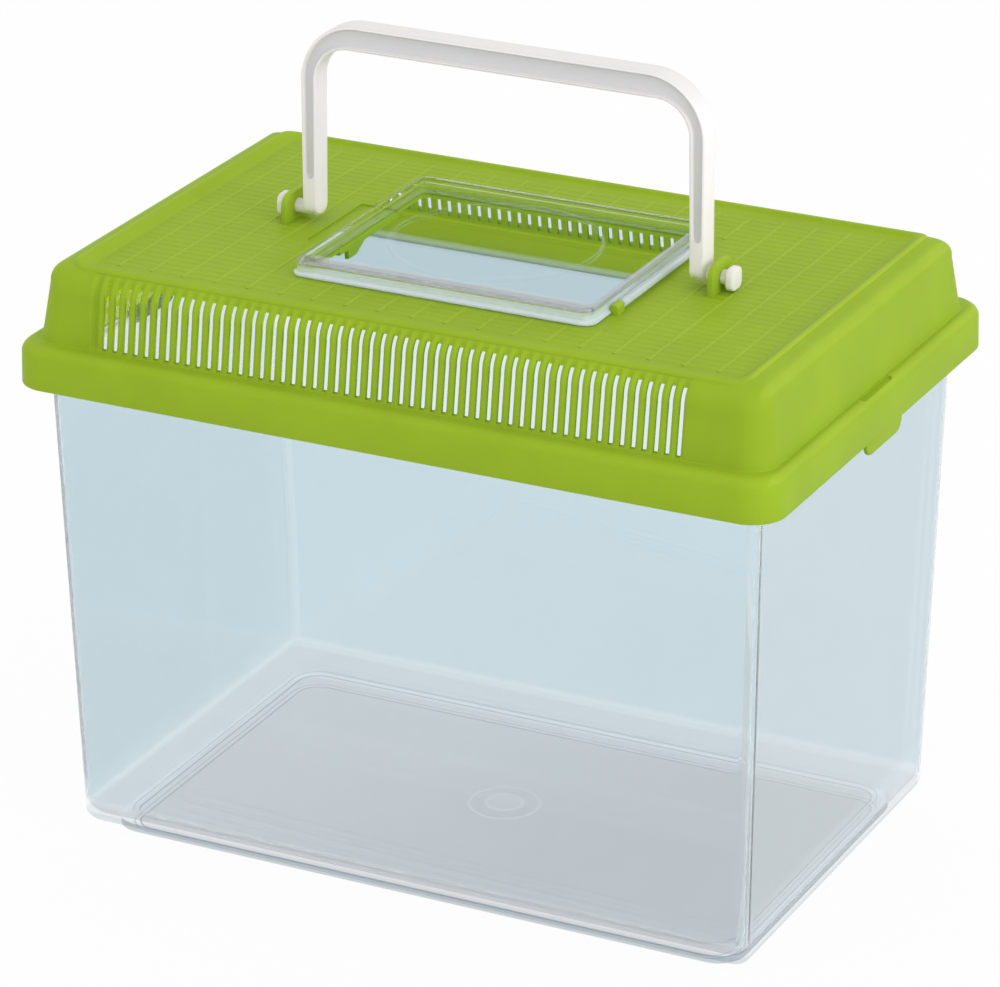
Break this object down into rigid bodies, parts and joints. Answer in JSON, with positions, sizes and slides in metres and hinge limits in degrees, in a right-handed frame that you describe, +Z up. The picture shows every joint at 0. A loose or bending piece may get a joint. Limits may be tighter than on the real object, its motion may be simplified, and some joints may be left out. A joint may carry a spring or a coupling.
{
  "type": "plastic pet keeper",
  "caption": "Clear plastic pet keeper with a green vented lid, a hinged clear hatch and a folding white carrying handle.",
  "frame": {"origin": "middle of the foot, on the surface that the keeper stands on", "axes": "+Z up, +X along the length towards the end on the right of the front, -Y to the front, +Y across the width to the back"},
  "size_m": [0.3, 0.1988, 0.3043],
  "materials": {
    "clear_tank": "clear moulded plastic",
    "green_lid": "satin moulded plastic",
    "white_handle": "satin moulded plastic",
    "clear_hatch": "clear moulded plastic"
  },
  "bodies": {
    "tank": {"tank": "clear_tank"},
    "lid": {"lid": "green_lid"},
    "handle": {"handle": "white_handle"},
    "hatch": {"hatch": "clear_hatch"}
  },
  "joints": [
    {"name": "lid_lift", "type": "slide", "parent": "tank", "child": "lid", "axis": [0, 0, 1], "range_m": [0, 0.06]},
    {"name": "handle_fold", "type": "hinge", "parent": "lid", "child": "handle", "pos_m": [0, 0, 0.231], "axis": [1, 0, 0], "range_deg": [-90, 90]},
    {"name": "hatch_hinge", "type": "hinge", "parent": "lid", "child": "hatch", "pos_m": [0.0628, -0.0041, 0.2282], "axis": [0, 1, 0], "range_deg": [0, 30]}
  ]
}
